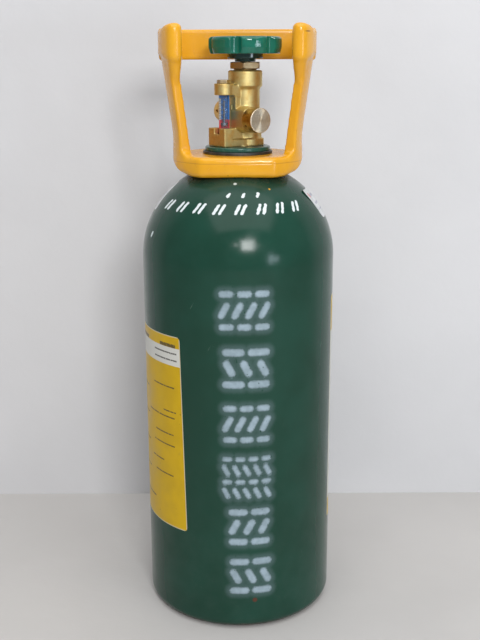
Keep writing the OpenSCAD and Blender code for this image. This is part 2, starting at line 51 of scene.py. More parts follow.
# ---- Camera ----
# Eye level with the handwheel, 0.85 m in front of the cylinder's axis, looking slightly down.
# The focal length and the view's height are in one unit; the film's height is in millimetres.
camera_place = (0.00226, -0.8511, 0.4849)
camera_pitch = math.radians(14.95)
camera_roll = math.radians(0.22)
film_height, focal_length, view_height = 36.0, 992.7, 640
lens = bpy.data.cameras.new("camera")
lens.sensor_fit = "VERTICAL"
lens.sensor_height = film_height
lens.lens = film_height * focal_length / view_height
lens.clip_start = 0.05
camera = bpy.data.objects.new("camera", lens)
camera.location = camera_place
camera.rotation_euler = (math.radians(90) - camera_pitch, camera_roll, 0)
scene.collection.objects.link(camera)
scene.camera = camera
scene.view_settings.view_transform = "Standard"

# ---- Cylinder ----
# A seamless steel shell, spun shut at the shoulder and drawn to a neck, with a hollow foot.
# It is sprayed with glossy green enamel. Marks are stencilled on the wall and brushed on the
# shoulder in white, and the foot's rim is rubbed to brown where it is rolled along.
mm = 0.001
wall_r, wall_top = 82.5, 318.0
shoulder_cx, shoulder_r, shoulder_sweep = 4.5, 78.0, 74
hollow_edge, hollow_rise, foot_corner_r = 65.5, 14, 9
step_r, step_z, neck_r, neck_top, neck_bevel = 26, 396, 21, 411.0, 0.6
neck_bore_r, neck_bore_foot = 13, 372


def arc(cx, cz, radius, start, end, steps):
    """Points on an arc, with its angles in degrees."""
    turns = [math.radians(start + (end - start) * i / steps) for i in range(steps + 1)]
    return [(cx + radius * math.cos(a), cz + radius * math.sin(a)) for a in turns]


def lathe(profile, steps):
    """Spins a profile of (radius, height) points, in millimetres, round the upright axis."""
    bm = bmesh.new()
    points = [bm.verts.new((r * mm, 0, z * mm)) for r, z in profile]
    edges = [bm.edges.new(pair) for pair in zip(points, points[1:])]
    bmesh.ops.spin(bm, geom=points + edges, cent=(0, 0, 0), axis=(0, 0, 1), dvec=(0, 0, 0),
                   angle=2 * math.pi, steps=steps, use_merge=True)
    bmesh.ops.remove_doubles(bm, verts=bm.verts, dist=1e-6)
    bmesh.ops.recalc_face_normals(bm, faces=bm.faces)
    return bm


def make_piece(name, bm, body, finish, replaced=(), crease=40):
    """Turns a bmesh into a smooth-shaded piece that rides on a body."""
    mesh = bpy.data.meshes.new(name)
    bm.to_mesh(mesh)
    bm.free()
    mesh.shade_smooth()
    mesh.set_sharp_from_angle(angle=math.radians(crease))
    mesh.materials.append(finish)
    piece = bpy.data.objects.new(name, mesh)
    scene.collection.objects.link(piece)
    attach(piece, body)
    if replaced:
        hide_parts(*replaced)
    return piece


def new_finish(name, colour, roughness, **sockets):
    """A material with one Principled shader and Object coordinates; returns it and its tree."""
    finish = bpy.data.materials.new(name)
    finish.use_nodes = True
    shader = finish.node_tree.nodes["Principled BSDF"]
    shader.inputs["Base Color"].default_value = (*colour, 1)
    shader.inputs["Roughness"].default_value = roughness
    for socket, value in sockets.items():
        shader.inputs[socket.replace("_", " ")].default_value = value
    add(finish.node_tree, "TexCoord", {}, name="place")
    return finish, finish.node_tree


def add(tree, kind, sockets, **settings):
    """Adds a node, sets its options, and fills its sockets with values or links."""
    node = tree.nodes.new("ShaderNode" + kind)
    for key, value in settings.items():
        setattr(node, key, value)
    for key, value in sockets.items():
        if isinstance(value, bpy.types.NodeSocket):
            tree.links.new(value, node.inputs[key])
        else:
            node.inputs[key].default_value = value
    return node


def calc(tree, operation, *values):
    """One Math node's result."""
    return add(tree, "Math", dict(enumerate(values)), operation=operation).outputs[0]


def times(tree, first, second):
    return calc(tree, "MULTIPLY", first, second)


def wavered(tree, value, wave, depth):
    """A value pushed up and down by a noise."""
    return calc(tree, "MULTIPLY_ADD", calc(tree, "SUBTRACT", wave, 0.5), depth, value)


def vector_of(tree, operation, *values):
    """One Vector Math node."""
    return add(tree, "VectorMath", dict(enumerate(values)), operation=operation)


def object_place(tree):
    return tree.nodes["place"].outputs["Object"]


def noise(tree, size, detail=3.0, roughness=0.5, stretch=(1, 1, 1), place=None):
    """Noise with features of the given size in metres, 0 to 1 and about 0.5 on average."""
    if place is None:
        place = object_place(tree)
    scale = tuple(s / size for s in stretch)
    spot = add(tree, "Mapping", {"Vector": place, "Scale": scale}).outputs[0]
    return add(tree, "TexNoise", {"Vector": spot, "Scale": 1.0, "Detail": detail,
                                  "Roughness": roughness}).outputs["Fac"]


def ramp(tree, value, low, high, to_low=0.0, to_high=1.0):
    """Smooth step from one value to another."""
    return add(tree, "MapRange", {"Value": value, "From Min": low, "From Max": high,
                                  "To Min": to_low, "To Max": to_high},
               interpolation_type="SMOOTHSTEP").outputs[0]


def blend(tree, factor, first, second):
    """Mix of two colours; each is a link or three numbers."""
    node = add(tree, "Mix", {"Factor": factor}, data_type="RGBA")
    for socket, colour in ((node.inputs[6], first), (node.inputs[7], second)):
        if isinstance(colour, bpy.types.NodeSocket):
            tree.links.new(colour, socket)
        else:
            socket.default_value = (*colour, 1)
    return node.outputs[2]


def duller(tree, mask, roughness, rough):
    """Roughness that changes to another value where a mask says so."""
    return add(tree, "Mix", {"Factor": mask, "A": roughness, "B": rough},
               data_type="FLOAT").outputs[0]


def raise_by(tree, height, distance, below=None):
    """Bump of the given depth in metres, on top of another bump."""
    sockets = {"Height": height, "Strength": 1.0, "Distance": distance}
    if below is not None:
        sockets["Normal"] = below
    return add(tree, "Bump", sockets).outputs[0]


def coats(tree, tone, *masked):
    """Colours laid one over another, each where its mask says."""
    for mask, colour in masked:
        tone = blend(tree, mask, tone, colour)
    return tone


def use(tree, colour=None, roughness=None, normal=None):
    """Links a finished colour, roughness and bump to the shader."""
    shader = tree.nodes["Principled BSDF"]
    for socket, link in (("Base Color", colour), ("Roughness", roughness), ("Normal", normal)):
        if link is not None:
            tree.links.new(link, shader.inputs[socket])


def shoulder_up(z):
    """Distance along the wall and shoulder from the foot to height z, and the radius there."""
    slope = math.asin((z - wall_top) / shoulder_r)
    return wall_top + shoulder_r * slope, shoulder_cx + shoulder_r * math.cos(slope)


def outside_stroke(x, y, length, turn, half_width):
    """Distance of a point outside a round-ended stroke about the middle, in millimetres."""
    c, s = math.cos(math.radians(turn)), math.sin(math.radians(turn))
    beyond = max(abs(x * c + y * s) - max(length / 2 - half_width, 0), 0)
    return math.hypot(beyond, y * c - x * s) - half_width


def from_0_to_1(value):
    return min(max(value, 0), 1)

# Six blocks of stencilled bars: the block's middle across and up, its width, the bars' half
# width, and its rows from the top as (turn of the bars, number of bars). A plain pattern.
stencil_blocks = [
    (5.0, 287.0, 44, 3.0, [(0, 3), (62, 4), (0, 3)]),
    (6.4, 238.5, 42, 3.4, [(0, 2), (-62, 3), (0, 2)]),
    (6.7, 190.3, 42, 2.9, [(0, 3), (62, 4), (0, 3)]),
    (6.8, 144.0, 44, 2.4, [(0, 4), (-62, 5), (0, 4), (-62, 5)]),
    (8.8, 97.5, 38, 3.3, [(0, 2), (62, 3), (0, 2)]),
    (10.0, 51.2, 39, 3.3, [(0, 2), (-62, 3), (0, 2)]),
]
block_height, leaning_bar, level_bar_gap = 41.0, 1.15, 1.8
# Brush dabs on the shoulder, all leaning one way: direction from the front, height, length.
brush_dabs = [(-7.5, 376, 6), (4.6, 376, 6), (16.5, 376, 6), (-65, 341, 6)]
brush_dabs += [(middle + side, 366, 11) for middle in (-58, -43, -28, -13, 2, 17, 31, 45)
               for side in (-2.1, 2.1)]
dab_turn, dab_half_width = 68, 1.3
# Scuffed places on the wall: middle across and up, and half width and height.
scuffs = [(-38, 285, 22, 26), (-26, 262, 8, 22), (-24, 182, 10, 12), (-34, 48, 28, 12),
          (62, 60, 24, 16), (96, 250, 30, 60), (-150, 200, 40, 90), (190, 120, 50, 60)]
scuff_fade = 0.8


def mark(bm):
    """Gives each point its distance to the stencil and brush marks and how scuffed it is."""
    far = 9.0
    stencil = []
    for mid_x, mid_up, width, half_width, rows in stencil_blocks:
        pitch = block_height / len(rows)
        for row, (turn, count) in enumerate(rows):
            up = mid_up + (len(rows) / 2 - row - 0.5) * pitch
            length = pitch * leaning_bar if turn else width / count - level_bar_gap
            for i in range(count):
                across = mid_x + ((i + 0.5) / count - 0.5) * width
                stencil.append((across / wall_r, up, length, turn, half_width))
    brushed = [(math.radians(facing), shoulder_up(z)[0], length, dab_turn, dab_half_width)
               for facing, z, length in brush_dabs]
    layers = [(bm.verts.layers.float.new(name), strokes)
              for name, strokes in (("stencil_gap", stencil), ("brush_gap", brushed))]
    scuffed = bm.verts.layers.float.new("scuffed")
    for vert in bm.verts:
        x, y, z = vert.co / mm
        radius = math.hypot(x, y)
        facing = math.atan2(x, -y)
        slope = math.atan2(max(z - wall_top, 0), radius - shoulder_cx)
        up = min(z, wall_top) + shoulder_r * slope
        for layer, strokes in layers:
            gaps = [far]
            for turn_to, mid_up, length, turn, half_width in strokes:
                across, rise, reach = (facing - turn_to) * radius, up - mid_up, length / 2 + far
                if abs(rise) < reach and abs(across) < reach:
                    gaps.append(outside_stroke(across, rise, length, turn, half_width))
            vert[layer] = min(gaps)
        rub = min(math.hypot((facing * radius - mid_x) / half_x, (up - mid_up) / half_up)
                  for mid_x, mid_up, half_x, half_up in scuffs)
        vert[scuffed] = from_0_to_1((1 - rub) / scuff_fade)


def green_enamel():
    """Glossy enamel with its stencil and brush marks, scratches, scuffs, grime with painted shadow
    under the guard, and worn foot.
    """
    deep_green, full_green = (0.0075, 0.043, 0.027), (0.0098, 0.053, 0.035)
    dust_grey, grime_brown = (0.075, 0.10, 0.085), (0.045, 0.045, 0.026)
    scratch_pale, primer_brown = (0.17, 0.24, 0.20), (0.075, 0.055, 0.042)
    stencil_white, brush_white = (0.34, 0.43, 0.50), (0.66, 0.72, 0.74)
    finish, tree = new_finish("green_enamel", (0.010, 0.054, 0.036), 0.2, Specular_IOR_Level=0.25)

    # Places in millimetres: height, distance round the wall, and distance up wall and shoulder
    place = object_place(tree)
    axes = add(tree, "SeparateXYZ", {"Vector": place})
    level = vector_of(tree, "MULTIPLY", place, (1000, 1000, 0)).outputs[0]
    radius = vector_of(tree, "LENGTH", level).outputs["Value"]
    z = times(tree, axes.outputs["Z"], 1000)
    front = times(tree, axes.outputs["Y"], -1)
    across = times(tree, calc(tree, "ARCTAN2", axes.outputs["X"], front), radius)
    over = calc(tree, "MAXIMUM", calc(tree, "SUBTRACT", z, wall_top), 0.0)
    slope = calc(tree, "ARCTAN2", over, calc(tree, "SUBTRACT", radius, shoulder_cx))
    up = calc(tree, "MULTIPLY_ADD", slope, shoulder_r, calc(tree, "MINIMUM", z, wall_top))
    where = add(tree, "CombineXYZ", {"X": across, "Y": up, "Z": 0.0}).outputs[0]

    # Slow drifts of shade, dust that is thicker near the foot, and under the guard's collar a
    # brown darkening that is partly grime and partly painted shadow
    drift, dust = noise(tree, 0.05, 4), noise(tree, 0.012, 5, 0.6)
    low = ramp(tree, z, 200.0, 0.0)
    dusty = times(tree, ramp(tree, dust, 0.3, 0.8), calc(tree, "MULTIPLY_ADD", low, 0.06, 0.02))
    # grime is partly real grime and partly the collar's shadow painted onto the enamel
    grime = times(tree, ramp(tree, z, 379.0, 392.0), ramp(tree, dust, 0.35, 0.6, 0.35, 0.85))

    # Scratches: thin, in two directions, everywhere faint and strong in the scuffed places
    scuffed = add(tree, "Attribute", {}, attribute_name="scuffed").outputs["Fac"]
    lines = 0.0
    for angle, seed in ((25, 0.0), (-62, 3.7)):
        turned = add(tree, "Mapping", {"Vector": where, "Location": (seed * 40, seed * 9, seed),
                                       "Rotation": (0, 0, math.radians(angle))}).outputs[0]
        line = noise(tree, 1.0, 2, 0.5, (0.05, 1.6, 1), turned)
        lines = calc(tree, "MAXIMUM", lines, ramp(tree, line, 0.70, 0.76))
    broken = ramp(tree, noise(tree, 0.006, 3), 0.45, 0.62)
    scratch = times(tree, times(tree, lines, broken),
                    calc(tree, "MULTIPLY_ADD", scuffed, 0.8, 0.05))

    # Stencil marks: soft sprayed edges, a thin haze round them, and pinholes
    gap = add(tree, "Attribute", {}, attribute_name="stencil_gap").outputs["Fac"]
    gap = wavered(tree, gap, noise(tree, 0.0012, 2), 1.4)
    cloud = ramp(tree, noise(tree, 0.006, 3), 0.3, 0.7, 0.70, 0.92)
    sprayed = times(tree, ramp(tree, gap, 1.1, -1.7), cloud)
    haze = ramp(tree, gap, 6.0, 0.0, 0.0, 0.13)
    pinholes = ramp(tree, noise(tree, 0.0022, 1), 0.73, 0.78)
    sprayed = calc(tree, "SUBTRACT", calc(tree, "MAXIMUM", sprayed, haze), pinholes)
    sprayed = calc(tree, "MAXIMUM", sprayed, 0.0)

    # Brush marks on the shoulder: solid paint with a wavering edge
    gap = add(tree, "Attribute", {}, attribute_name="brush_gap").outputs["Fac"]
    gap = wavered(tree, gap, noise(tree, 0.003, 2), 1.6)
    brushed = ramp(tree, gap, 0.25, -0.35)

    # A yellow splash, a white rub and a brown stain: direction, height, width and colour
    spots = []
    for degrees, height, size, colour in ((29.4, 379.6, 1.0, (0.6, 0.30, 0.02)),
                                          (-2.6, 384.0, 1.5, (0.5, 0.55, 0.52)),
                                          (9.4, 28.0, 2.2, (0.09, 0.035, 0.02))):
        spot_r = shoulder_up(height)[1] if height > wall_top else wall_r
        facing = math.radians(degrees)
        spot = Vector((spot_r * math.sin(facing), -spot_r * math.cos(facing), height)) * mm
        away = vector_of(tree, "DISTANCE", place, tuple(spot)).outputs["Value"]
        spots.append((ramp(tree, away, size * 1.2 * mm, size * 0.6 * mm), colour))

    # Foot: enamel rubbed through to brown primer on the rolled corner
    worn = times(tree, ramp(tree, wavered(tree, z, dust, 9.0), 6.0, 1.5),
                 ramp(tree, drift, 0.3, 0.5, 0.4, 1.0))
    tone = blend(tree, ramp(tree, drift, 0.35, 0.7), deep_green, full_green)
    # grime_brown under the collar lays grime together with painted shadow
    tone = coats(tree, tone, (dusty, dust_grey), (grime, grime_brown), (scratch, scratch_pale),
                 (sprayed, stencil_white), (brushed, brush_white), *spots, (worn, primer_brown))

    # Surface: orange peel under the gloss, and duller where it is marked, rubbed or dusty
    dull = calc(tree, "MULTIPLY_ADD", ramp(tree, dust, 0.3, 0.8), 0.10, 0.15)
    for mask, rough in ((sprayed, 0.62), (brushed, 0.45), (worn, 0.6), (grime, 0.5),
                        (scratch, 0.5)):
        dull = duller(tree, mask, dull, rough)
    peel = raise_by(tree, noise(tree, 0.0035, 2), 1.2e-5)
    ripple = raise_by(tree, noise(tree, 0.03, 2), 1.2e-4, peel)
    raised = calc(tree, "MAXIMUM", sprayed, brushed)
    bumped = raise_by(tree, calc(tree, "SUBTRACT", raised, scratch), 4e-5, ripple)
    use(tree, tone, dull, bumped)
    return finish


hollow_r = (hollow_edge ** 2 + hollow_rise ** 2) / (2 * hollow_rise)
hollow_sweep = math.degrees(math.asin(hollow_edge / hollow_r))
hollow = arc(0, hollow_rise - hollow_r, hollow_r, 90, 90 - hollow_sweep, 10)
foot_corner = arc(wall_r - foot_corner_r, foot_corner_r, foot_corner_r, -90, 0, 10)
wall = [(wall_r, foot_corner_r + (wall_top - foot_corner_r) * i / 128) for i in range(1, 128)]
dome = arc(shoulder_cx, wall_top, shoulder_r, 0, shoulder_sweep, 78)
neck = [(step_r, step_z), (neck_r, step_z), (neck_r, neck_top - neck_bevel),
        (neck_r - neck_bevel, neck_top), (neck_bore_r, neck_top),
        (neck_bore_r, neck_bore_foot), (0, neck_bore_foot)]
shell = lathe(hollow + foot_corner + wall + dome + neck, 320)
mark(shell)
make_piece("cylinder_shell", shell, "cylinder", green_enamel(), ["cylinder_body"])

# ---- Labels and stickers ----
# Printed paper, varnished and pasted round the wall: plain fields of yellow and white with
# thin dark rules. Two white stickers curve over the shoulder, and one has begun to lift.


def flat_sheet(width, height, corner, step):
    """A flat sheet with round corners in millimetres, cut both ways so that it can be curved."""
    bm = bmesh.new()
    bmesh.ops.create_grid(bm, x_segments=1, y_segments=1, size=0.5)
    bmesh.ops.translate(bm, vec=(0.5, 0.5, 0), verts=bm.verts)
    bmesh.ops.scale(bm, vec=(width, height, 1), verts=bm.verts)
    bmesh.ops.bevel(bm, geom=bm.verts[:], offset=corner, segments=6, profile=0.5,
                    affect="VERTICES", material=-1)
    for cut, length in (((1, 0, 0), width), ((0, 1, 0), height)):
        for i in range(1, round(length / step)):
            bmesh.ops.bisect_plane(bm, geom=bm.verts[:] + bm.edges[:] + bm.faces[:], dist=1e-5,
                                   plane_co=Vector(cut) * i * step, plane_no=cut)
    flat = bm.loops.layers.uv.new("flat")
    for face in bm.faces:
        for loop in face.loops:
            loop[flat].uv = (loop.vert.co.x / width, loop.vert.co.y / height)
    return bm


def paste_on(bm, curve, thickness):
    """Moves each point of a sheet to its place on the cylinder, then gives it its thickness."""
    for vert in bm.verts:
        vert.co = Vector(curve(vert.co.x, vert.co.y)) * mm
    bmesh.ops.recalc_face_normals(bm, faces=bm.faces)
    middle = bm.faces[:][len(bm.faces) // 2]
    away = Vector((middle.calc_center_median().x, middle.calc_center_median().y, 0))
    if middle.normal.dot(away) < 0:
        bmesh.ops.reverse_faces(bm, faces=bm.faces)
    bmesh.ops.solidify(bm, geom=bm.faces[:], thickness=thickness * mm)
    return bm


def facing_at(x, y, size, far_edge, near_low, near_high):
    """A point's share of the way from a sheet's far edge to its near one, and its direction."""
    near = near_low + (near_high - near_low) * y / size[1]
    share = x / size[0] if far_edge < 0 else 1 - x / size[0]
    return share, math.radians(far_edge + (near - far_edge) * share)


def block(tree, x, y, x_middle, y_middle, length, thick):
    """1 inside an upright block, 0 outside."""
    return times(tree, calc(tree, "COMPARE", x, x_middle, length / 2),
                 calc(tree, "COMPARE", y, y_middle, thick / 2))


def on_sheet(tree, size):
    """A place on a flat sheet, in millimetres from its corner."""
    flat = add(tree, "UVMap", {}, uv_map="flat").outputs[0]
    return vector_of(tree, "MULTIPLY", flat, (*size, 0)).outputs[0]


paste_t, paper_t = 0.04, 0.3
label_corner, label_step, label_border = 3.5, 3.0, 0.7
label_yellow, label_white = (0.53, 0.335, 0.005), (0.60, 0.60, 0.56)
label_cream = (0.55, 0.50, 0.36)
label_ink, label_rub, label_speck = (0.035, 0.032, 0.028), (0.32, 0.24, 0.05), (0.08, 0.06, 0.03)


def printed(name, size, band, rules):
    """Varnished yellow paper with a white band, dark rules, a cream border, rubs and specks."""
    finish, tree = new_finish(name, label_yellow, 0.35, Specular_IOR_Level=0.25)
    sheet = on_sheet(tree, size)
    axes = add(tree, "SeparateXYZ", {"Vector": sheet})
    x, y = axes.outputs["X"], axes.outputs["Y"]
    fade = noise(tree, 0.02, 3)
    paler = tuple(c * 1.12 for c in label_yellow)
    tone = blend(tree, ramp(tree, fade, 0.35, 0.75), label_yellow, paler)
    ink = 0.0
    for x_middle, y_middle, length, thick in rules:
        ink = calc(tree, "MAXIMUM", ink, block(tree, x, y, x_middle, y_middle, length, thick))
    wear = ramp(tree, noise(tree, 0.0016, 3), 0.66, 0.56, 0.25, 0.85)
    from_sides = calc(tree, "MINIMUM", x, calc(tree, "SUBTRACT", size[0], x))
    from_ends = calc(tree, "MINIMUM", y, calc(tree, "SUBTRACT", size[1], y))
    from_edge = calc(tree, "MINIMUM", from_sides, from_ends)
    specks = ramp(tree, noise(tree, 0.0028, 2), 0.74, 0.80)
    rubbed = ramp(tree, noise(tree, 0.009, 5, 0.65), 0.62, 0.78, 0.0, 0.25)
    tone = coats(tree, tone, (calc(tree, "COMPARE", y, *band), label_white),
                 (times(tree, ink, wear), label_ink),
                 (calc(tree, "LESS_THAN", from_edge, label_border), label_cream),
                 (rubbed, label_rub), (specks, label_speck))
    use(tree, tone, ramp(tree, fade, 0.3, 0.8, 0.28, 0.48),
        raise_by(tree, noise(tree, 0.004, 3), 3e-5))
    return finish


# Each label: name, size, direction of its far edge and of its near edge below and above, height
# of its foot, white band as middle and half height, and rules as middle, length and thickness.
label_specs = [
    ("label_sheet_left", (147, 173.5), (-138, -32.85, -36.0), 86.8, (155.6, 7.8),
     [(132, 165, 20, 3.0), (70, 165, 60, 3.0), (128, 158.5, 30, 1.3), (128, 152.5, 30, 1.3),
      (124, 128.2, 30, 1.2), (132, 106.4, 16, 1.2), (118, 101, 40, 1.2), (123, 85.6, 26, 1.2),
      (122, 75.4, 30, 1.2), (112, 59.6, 20, 1.2), (121, 47.8, 26, 1.2),
      *[(70, up, 50, 1.2) for up in (120, 95, 70, 45)], (60, 20, 90, 1.6)]),
    ("label_sheet_right", (93, 208), (140, 75.5, 75.5), 77.0, (96.8, 79.0),
     [(48, 195, 60, 4.0), *[(48, up, 64, 1.2) for up in (160, 150, 140, 120, 110, 90, 80, 60)],
      (48, 9, 60, 3.0)]),
]
for name, size, edges, foot, band, rules in label_specs:
    def wrap(x, y):
        turn = facing_at(x, y, size, *edges)[1]
        radius = wall_r + paste_t
        return radius * math.sin(turn), -radius * math.cos(turn), foot + y

    paper = paste_on(flat_sheet(*size, label_corner, label_step), wrap, paper_t)
    make_piece(name, paper, "cylinder",
               printed(name.replace("sheet", "print"), size, band, rules),
               [name.replace("sheet_", "")], crease=60)

# Each sticker: name, size, edges as for a label, the shoulder's slope in degrees at its foot
# and top, and the lift of its corner.
sticker_specs = [
    ("sticker_sheet_right", (56, 29), (112, 74, 66), (26, 47), 1.6),
    ("sticker_sheet_left", (58, 31), (-128, -78, -80), (31, 54), 0.4),
]
sticker_corner, sticker_step, curl_from, curl_gain = 4.0, 2.0, 0.8, 5
dot_in, dot_r, dot_edge = 6.5, 2.3, 2.9
sticker_white, sticker_grey = (0.62, 0.64, 0.65), (0.45, 0.46, 0.47)
dot_red, sticker_ink = (0.62, 0.10, 0.11), (0.24, 0.24, 0.34)
sticker_rules = [(22, 22, 20, 2.5), (20, 14, 28, 2.2), (22, 8, 30, 1.2), (46, 16, 10, 5)]
for name, size, edges, (low, high), lift in sticker_specs:
    def wrap(x, y):
        share, turn = facing_at(x, y, size, *edges)
        slope = math.radians(low + (high - low) * y / size[1])
        curl = lift * max(0, share - curl_from) * curl_gain * (y / size[1]) ** 2
        reach = shoulder_r + 2 * paste_t + curl
        radius = shoulder_cx + reach * math.cos(slope)
        up = wall_top + reach * math.sin(slope)
        return radius * math.sin(turn), -radius * math.cos(turn), up

    paper = paste_on(flat_sheet(*size, sticker_corner, sticker_step), wrap, paper_t)
    finish, tree = new_finish(name.replace("sheet", "print"), (0.62, 0.63, 0.64), 0.4)
    sheet = on_sheet(tree, size)
    fade = ramp(tree, noise(tree, 0.01, 4), 0.4, 0.75)
    tone = blend(tree, fade, sticker_white, sticker_grey)
    dot = vector_of(tree, "DISTANCE", sheet, (dot_in, size[1] - dot_in, 0)).outputs["Value"]
    tone = blend(tree, ramp(tree, dot, dot_edge, dot_r), tone, dot_red)
    axes = add(tree, "SeparateXYZ", {"Vector": sheet})
    for rule in sticker_rules:
        printing = block(tree, axes.outputs["X"], axes.outputs["Y"], *rule)
        tone = blend(tree, times(tree, printing, 0.7), tone, sticker_ink)
    peel = raise_by(tree, noise(tree, 0.006, 3), 8e-5)
    dull = ramp(tree, noise(tree, 0.01, 4), 0.3, 0.8, 0.3, 0.5)
    use(tree, tone, dull, peel)
    make_piece(name, paper, "cylinder", finish, [name.replace("sheet_", "")],
               crease=60)

# ---- Carrying guard ----
# One injection moulding in glossy yellow plastic, clamped on the neck: a collar, two leaning
# panels, a band with two posts at the front, and a grip behind. The mould's parting line runs
# round the collar, and handling has left scuffs, dark specks and a nick in one post.


def merged_copy(node):
    """A CAD node's mesh with its doubles merged."""
    bm = bmesh.new()
    bm.from_mesh(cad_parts[node].data)
    bmesh.ops.remove_doubles(bm, verts=bm.verts, dist=1e-6)
    return bm


def softened(node, voxel, rounds, fillings=()):
    """A CAD node's shape as even small faces, with its edges rounded as by a mould.

    Each filling is a bar to melt in: foot, foot radius, top and top radius, in millimetres."""
    mesh = bpy.data.meshes.new(node + "_blank")
    bm = merged_copy(node)
    for foot, foot_r, top, top_r in fillings:
        along = Vector(top) - Vector(foot)
        lean = Vector((0, 0, 1)).rotation_difference(along).to_matrix().to_4x4()
        middle = Matrix.Translation((Vector(foot) + Vector(top)) / 2 * mm)
        bmesh.ops.create_cone(bm, cap_ends=True, segments=32, radius1=foot_r * mm,
                              radius2=top_r * mm, depth=along.length * mm, matrix=middle @ lean)
    bm.to_mesh(mesh)
    bm.free()
    blank = bpy.data.objects.new(node + "_blank", mesh)
    scene.collection.objects.link(blank)
    even = blank.modifiers.new("even", "REMESH")
    even.mode = "VOXEL"
    even.voxel_size = voxel * mm
    ease = blank.modifiers.new("ease", "SMOOTH")
    ease.factor = 0.5
    ease.iterations = rounds
    bm = bmesh.new()
    bm.from_object(blank, bpy.context.evaluated_depsgraph_get())
    bpy.data.objects.remove(blank)
    bpy.data.meshes.remove(mesh)
    return bm


def yellow_plastic():
    """Glossy yellow plastic with grime, concave corners darkened by dirt and painted shade, scored
    marks, a parting line and a nick in one post.
    """
    deep_yellow, full_yellow = (0.71, 0.330, 0.010), (0.76, 0.370, 0.014)
    grime_brown, corner_dirt_and_shade = (0.46, 0.19, 0.015), (0.34, 0.12, 0.015)
    scored_brown, line_brown = (0.45, 0.20, 0.02), (0.30, 0.12, 0.01)
    speck_dark, nick_dark = (0.12, 0.06, 0.02), (0.10, 0.045, 0.015)
    parting_z, nick_at, nick_size = 0.3995, (0.0550, -0.031, 0.5030), (0.0045, 0.008, 0.0008)
    finish, tree = new_finish("yellow_plastic", (0.73, 0.345, 0.012), 0.25)
    place = object_place(tree)
    z = add(tree, "SeparateXYZ", {"Vector": place}).outputs["Z"]
    drift = noise(tree, 0.03, 3)
    grime = noise(tree, 0.007, 5, 0.65)
    hollow_side = add(tree, "NewGeometry", {}).outputs["Pointiness"]
    specks = ramp(tree, noise(tree, 0.0022, 2), 0.76, 0.80)
    run = noise(tree, 0.004, 2, 0.5, (1, 1, 0.10))
    scored = times(tree, ramp(tree, run, 0.66, 0.72), ramp(tree, grime, 0.42, 0.6))
    from_line = calc(tree, "ABSOLUTE", calc(tree, "SUBTRACT", z, parting_z))
    line = ramp(tree, from_line, 0.0006, 0.0001)
    nick_place = add(tree, "Mapping", {"Vector": place, "Location": nick_at, "Scale": nick_size},
                     vector_type="TEXTURE").outputs[0]
    nick = ramp(tree, vector_of(tree, "LENGTH", nick_place).outputs["Value"], 1.0, 0.4)
    tone = blend(tree, ramp(tree, drift, 0.35, 0.7), deep_yellow, full_yellow)
    # Concave corners (low pointiness) are darkened to brown: dirt together with painted shade
    tone = coats(tree, tone, (ramp(tree, grime, 0.58, 0.80, 0.0, 0.25), grime_brown),
                 (ramp(tree, hollow_side, 0.49, 0.45, 0.0, 0.45), corner_dirt_and_shade),
                 (specks, speck_dark), (times(tree, scored, 0.25), scored_brown),
                 (times(tree, line, 0.35), line_brown), (nick, nick_dark))
    dull = ramp(tree, grime, 0.3, 0.8, 0.18, 0.30)
    peel = raise_by(tree, noise(tree, 0.015, 1), 4e-5)
    marks = calc(tree, "MULTIPLY_ADD", scored, 0.2, calc(tree, "ADD", line, nick))
    cut = raise_by(tree, marks, -6e-5, peel)
    use(tree, tone, dull, cut)
    return finish


def round_axis(side, turn, reach, height):
    """A point at a direction from the front and a distance from the axis, in millimetres."""
    turn = math.radians(turn)
    return side * reach * math.sin(turn), -reach * math.cos(turn), height


# Each front post is filled out by three upright bars side by side, at a direction from the
# front, from foot to top. A tapered bar below them melts the post into its leg.
post_bars = [(60.5, 482, 508.0), (64, 483, 507.2), (68, 484, 506.5)]
post_reach, post_r = 59.2, 5.7
taper_foot, taper_foot_r = (66.0, 55.2, 457), 3.0
taper_top, taper_top_r = (57.8, 59.2, 487), 5.6
fillings = []
for side in (-1, 1):
    for turn, foot, top in post_bars:
        fillings.append((round_axis(side, turn, post_reach, foot), post_r,
                         round_axis(side, turn, post_reach, top), post_r))
    fillings.append((round_axis(side, *taper_foot), taper_foot_r,
                     round_axis(side, *taper_top), taper_top_r))
guard = softened("handle_guard", 0.9, 7, fillings)

# The posts and the collar's face are rounded further than the rest
post_foot, front_of_band, collar_height, collar_face = 0.462, -0.012, 0.4045, -0.022
near_post = [v for v in guard.verts if v.co.z > post_foot and v.co.y < front_of_band]
near_face = [v for v in guard.verts if v.co.z < collar_height and v.co.y < collar_face]
for verts, rounds in ((near_post, 20), (near_face, 36)):
    for i in range(rounds):
        bmesh.ops.smooth_vert(guard, verts=verts, factor=0.5,
                              use_axis_x=True, use_axis_y=True, use_axis_z=True)

# Rounding shrinks a shape, so the surface moves out again, further on the posts. The collar's
# sides spread a little at the legs.
swell, post_swell, post_ease, band_ease = 0.4, 0.5, 0.016, 0.014
spread, spread_x, spread_ease, spread_z, spread_half = 0.06, 0.039, 0.009, 0.400, 0.0145
guard.normal_update()
for vert in guard.verts:
    up_post = from_0_to_1((vert.co.z - post_foot) / post_ease)
    forward = from_0_to_1((front_of_band - vert.co.y) / band_ease)
    vert.co += vert.normal * (swell + post_swell * up_post * forward) * mm
    outer = from_0_to_1((abs(vert.co.x) - spread_x) / spread_ease)
    vert.co.x *= 1 + spread * outer * math.exp(-((vert.co.z - spread_z) / spread_half) ** 2)

